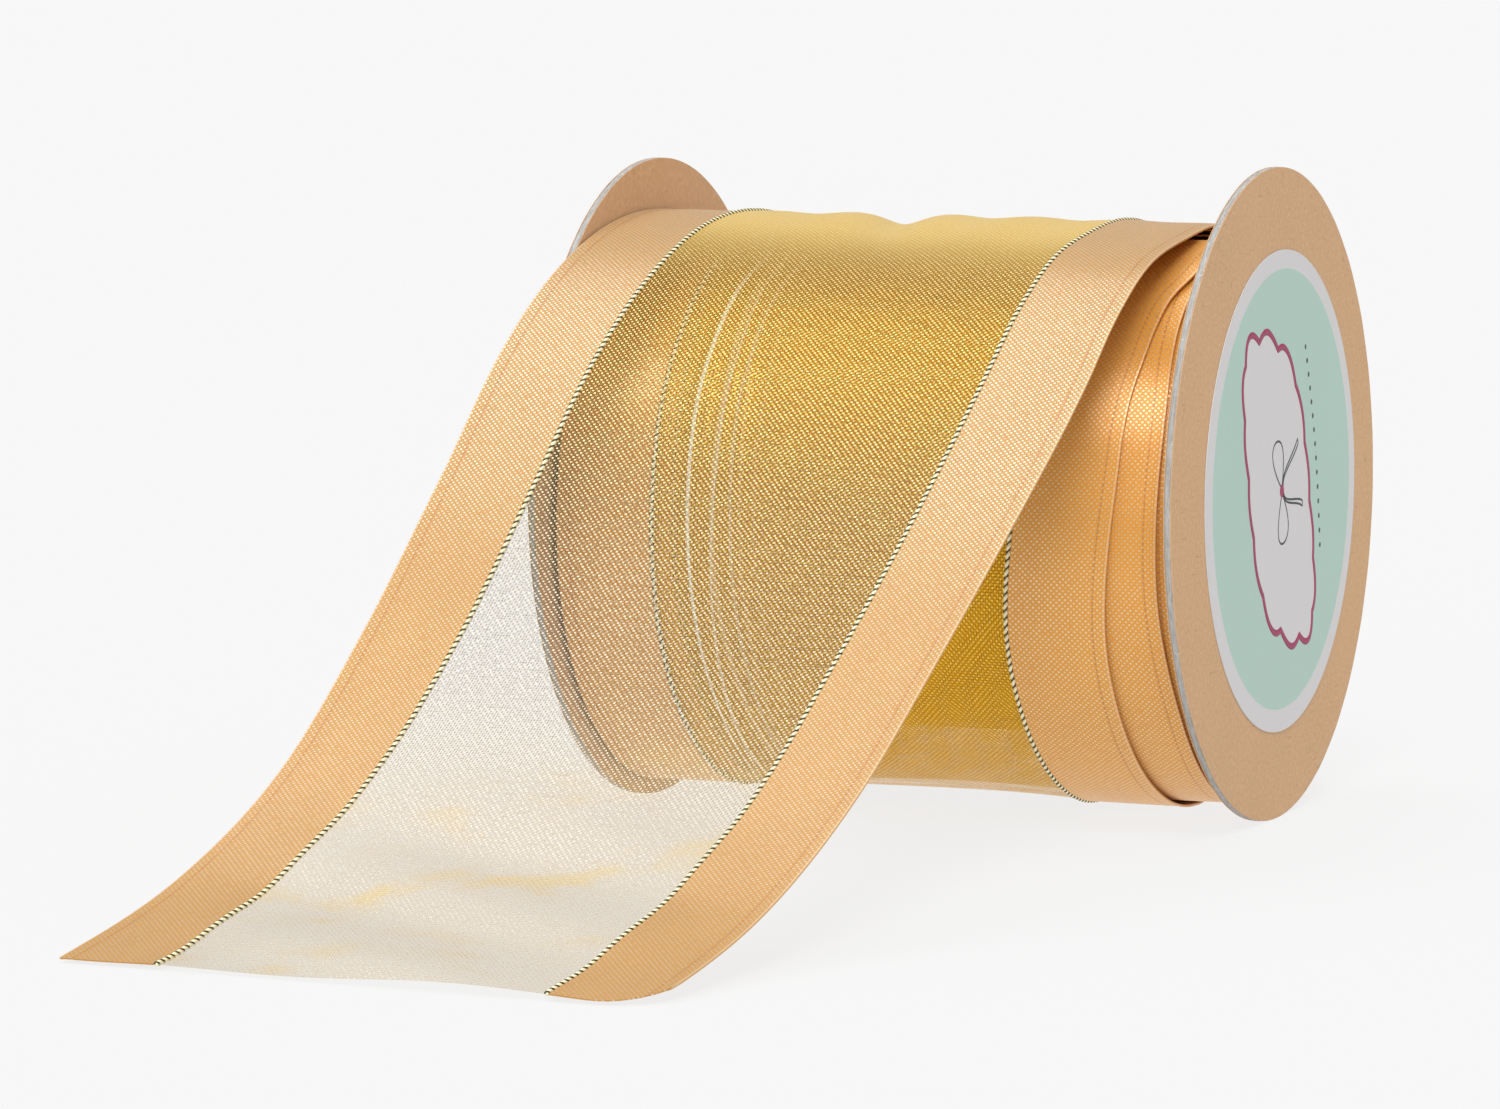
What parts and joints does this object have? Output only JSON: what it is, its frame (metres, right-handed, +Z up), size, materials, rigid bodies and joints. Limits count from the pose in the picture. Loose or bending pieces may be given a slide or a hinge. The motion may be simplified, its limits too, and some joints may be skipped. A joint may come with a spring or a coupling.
{
  "type": "ribbon spool",
  "caption": "Spool of wide ribbon with satin borders and a sheer centre, on a paperboard core between round kraft flanges, its free end draped in front.",
  "frame": {"origin": "centre of the footprint of the whole assembly, free end included, on the surface it stands on", "axes": "+X along the spool's axle towards the labelled flange, -Y towards the free end of the ribbon, +Z up"},
  "size_m": [0.1152, 0.2484, 0.1],
  "materials": {
    "kraft_paper": "matte kraft paper with light and dark fibre specks",
    "chipboard": "raw grey recycled board, rough at its cut edge",
    "core_board": "spiral-wound grey-brown paperboard, matte",
    "glue": "cloudy hot-melt glue",
    "tape": "thin clear sticky tape",
    "label_paper": "smooth printed paper, mint with a white rim and a plain ornament",
    "satin": "peach-gold satin with a soft sheen and a visible weave",
    "organza": "sheer gold organza with a fine glittering weave",
    "gold_cord": "twisted metallic gold thread"
  },
  "bodies": {
    "loose_ribbon": {"inner_wrap_satin_left": "satin", "inner_wrap_organza": "organza", "inner_wrap_satin_right": "satin", "inner_wrap_gold_cord_left": "gold_cord", "inner_wrap_gold_cord_right": "gold_cord", "outer_wrap_satin_left": "satin", "outer_wrap_organza": "organza", "outer_wrap_satin_right": "satin", "outer_wrap_gold_cord_left": "gold_cord", "outer_wrap_gold_cord_right": "gold_cord"},
    "spool": {"left_flange_outer_liner": "kraft_paper", "left_flange_board": "chipboard", "left_flange_inner_liner": "kraft_paper", "right_flange_outer_liner": "kraft_paper", "right_flange_board": "chipboard", "right_flange_inner_liner": "kraft_paper", "core_tube": "core_board", "left_core_glue": "glue", "right_core_glue": "glue", "start_tape": "tape", "label_sticker": "label_paper", "wound_satin_left": "satin", "wound_organza": "organza", "wound_satin_right": "satin", "wound_gold_cord_left": "gold_cord", "wound_gold_cord_right": "gold_cord"},
    "free_end": {"free_end_satin_left": "satin", "free_end_organza": "organza", "free_end_satin_right": "satin", "free_end_gold_cord_left": "gold_cord", "free_end_gold_cord_right": "gold_cord"}
  },
  "joints": [
    {"name": "spool_turn", "type": "hinge", "parent": "loose_ribbon", "child": "spool", "pos_m": [0.00595, 0.07422, 0.05], "axis": [1, 0, 0], "continuous": true},
    {"name": "free_end_lift", "type": "hinge", "parent": "loose_ribbon", "child": "free_end", "pos_m": [0.00595, 0.07422, 0.0915], "axis": [-1, 0, 0], "range_deg": [0, 35]}
  ]
}
